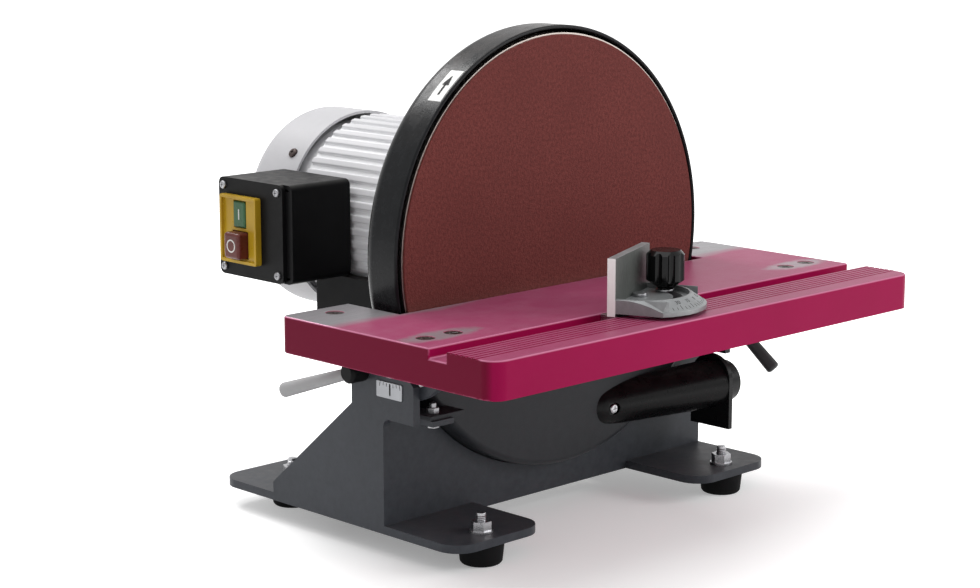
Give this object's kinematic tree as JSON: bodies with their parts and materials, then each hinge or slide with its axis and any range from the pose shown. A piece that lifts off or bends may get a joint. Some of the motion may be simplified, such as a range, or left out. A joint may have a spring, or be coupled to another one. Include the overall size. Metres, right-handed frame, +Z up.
{
  "type": "benchtop disc sander",
  "caption": "Benchtop disc sander with a large upright sanding disc in a round guard, a grooved tilting table with a mitre gauge, a motor behind and a switch box at its side.",
  "frame": {"origin": "on the bench, below the middle of the machine's length and depth", "axes": "+X to the right along the table's front edge, +Y to the back along the motor, +Z up; the disc faces -Y"},
  "size_m": [0.442, 0.4264, 0.362],
  "materials": {
    "base_paint": "satin dark grey paint on a casting",
    "guard_paint": "satin black-grey paint",
    "pan_paint": "matt dark grey paint",
    "motor_paint": "light grey paint on aluminium",
    "table_paint": "magenta paint on a ground casting",
    "black_plastic": "matt moulded",
    "black_iron": "black painted casting",
    "rubber": "matt",
    "steel": "zinc plated",
    "disc_aluminium": "turned",
    "gauge_aluminium": "die cast, fence face machined",
    "abrasive": "cloth with red-brown grain",
    "core_steel": "laminated",
    "winding_copper": "varnished wire",
    "yellow_plastic": "moulded",
    "green_plastic": "moulded",
    "red_plastic": "moulded",
    "lever_grey": "light grey grip",
    "lever_dark": "dark grip",
    "scale_plate": "anodised"
  },
  "bodies": {
    "machine": {"base": "base_paint", "rubber_feet": "rubber", "foot_studs": "steel", "foot_nuts": "steel", "back_plate": "guard_paint", "back_plate_bolts": "steel", "disc_guard": "guard_paint", "guard_screws": "steel", "lower_guard": "pan_paint", "lower_guard_screws": "steel", "tab_bolt": "steel", "dust_chute": "black_plastic", "chute_screw": "steel", "dust_outlet": "black_plastic", "motor_cradle": "black_iron", "cradle_bolts": "steel", "front_bell": "motor_paint", "motor_frame": "motor_paint", "rear_bell": "motor_paint", "motor_bolts": "steel", "stator_core": "core_steel", "stator_windings": "winding_copper", "front_bearing": "steel", "rear_bearing": "steel", "fan_cover": "motor_paint", "fan_cover_screws": "steel", "switch_box": "black_plastic", "switch_cover": "black_plastic", "cover_screws": "steel", "switch_frame": "yellow_plastic", "cable_gland": "black_plastic", "lock_bolts": "steel", "lock_washers": "steel", "guide_pins": "steel", "angle_scale": "scale_plate"},
    "rotor": {"motor_shaft": "steel", "rotor_core": "core_steel", "cooling_fan": "black_plastic", "disc_plate": "disc_aluminium", "abrasive_disc": "abrasive", "hub_screws": "steel"},
    "tilting_table": {"table": "table_paint", "trunnion_left": "base_paint", "trunnion_right": "base_paint", "table_screws": "steel", "scale_pointer": "scale_plate"},
    "left_lever": {"lever_hub_left": "black_plastic", "lever_handle_left": "lever_grey"},
    "right_lever": {"lever_hub_right": "black_plastic", "lever_handle_right": "lever_dark"},
    "gauge_bar": {"miter_bar": "steel", "miter_stud": "steel", "miter_pivot": "steel"},
    "gauge_head": {"miter_head": "gauge_aluminium"},
    "gauge_knob": {"miter_knob": "black_plastic"},
    "start_button": {"on_button": "green_plastic"},
    "stop_button": {"off_button": "red_plastic"}
  },
  "joints": [
    {"name": "disc_spin", "type": "hinge", "parent": "machine", "child": "rotor", "pos_m": [0, -0.05475, 0.204], "axis": [0, 1, 0], "continuous": true},
    {"name": "table_tilt", "type": "hinge", "parent": "machine", "child": "tilting_table", "pos_m": [0, -0.05875, 0.172], "axis": [1, 0, 0], "range_deg": [0, 45]},
    {"name": "lock_left", "type": "hinge", "parent": "machine", "child": "left_lever", "pos_m": [-0.178, -0.03206, 0.13091], "axis": [1, 0, 0], "range_deg": [-70, 20]},
    {"name": "lock_right", "type": "hinge", "parent": "machine", "child": "right_lever", "pos_m": [0.178, -0.07308, 0.12514], "axis": [1, 0, 0], "range_deg": [-5, 70]},
    {"name": "miter_slide", "type": "slide", "parent": "tilting_table", "child": "gauge_bar", "axis": [1, 0, 0], "range_m": [-0.15, 0.15]},
    {"name": "miter_swivel", "type": "hinge", "parent": "gauge_bar", "child": "gauge_head", "pos_m": [-0.028, -0.16175, 0.178], "axis": [0, 0, 1], "range_deg": [0, 134]},
    {"name": "miter_lock", "type": "hinge", "parent": "gauge_bar", "child": "gauge_knob", "pos_m": [-0.002, -0.16175, 0.2], "axis": [0, 0, 1], "range_deg": [-180, 180]},
    {"name": "start_press", "type": "slide", "parent": "machine", "child": "start_button", "axis": [1, 0, 0], "range_m": [0, 0.0025], "stiffness_N_per_m": 800},
    {"name": "stop_press", "type": "slide", "parent": "machine", "child": "stop_button", "axis": [1, 0, 0], "range_m": [0, 0.0025], "stiffness_N_per_m": 800}
  ]
}
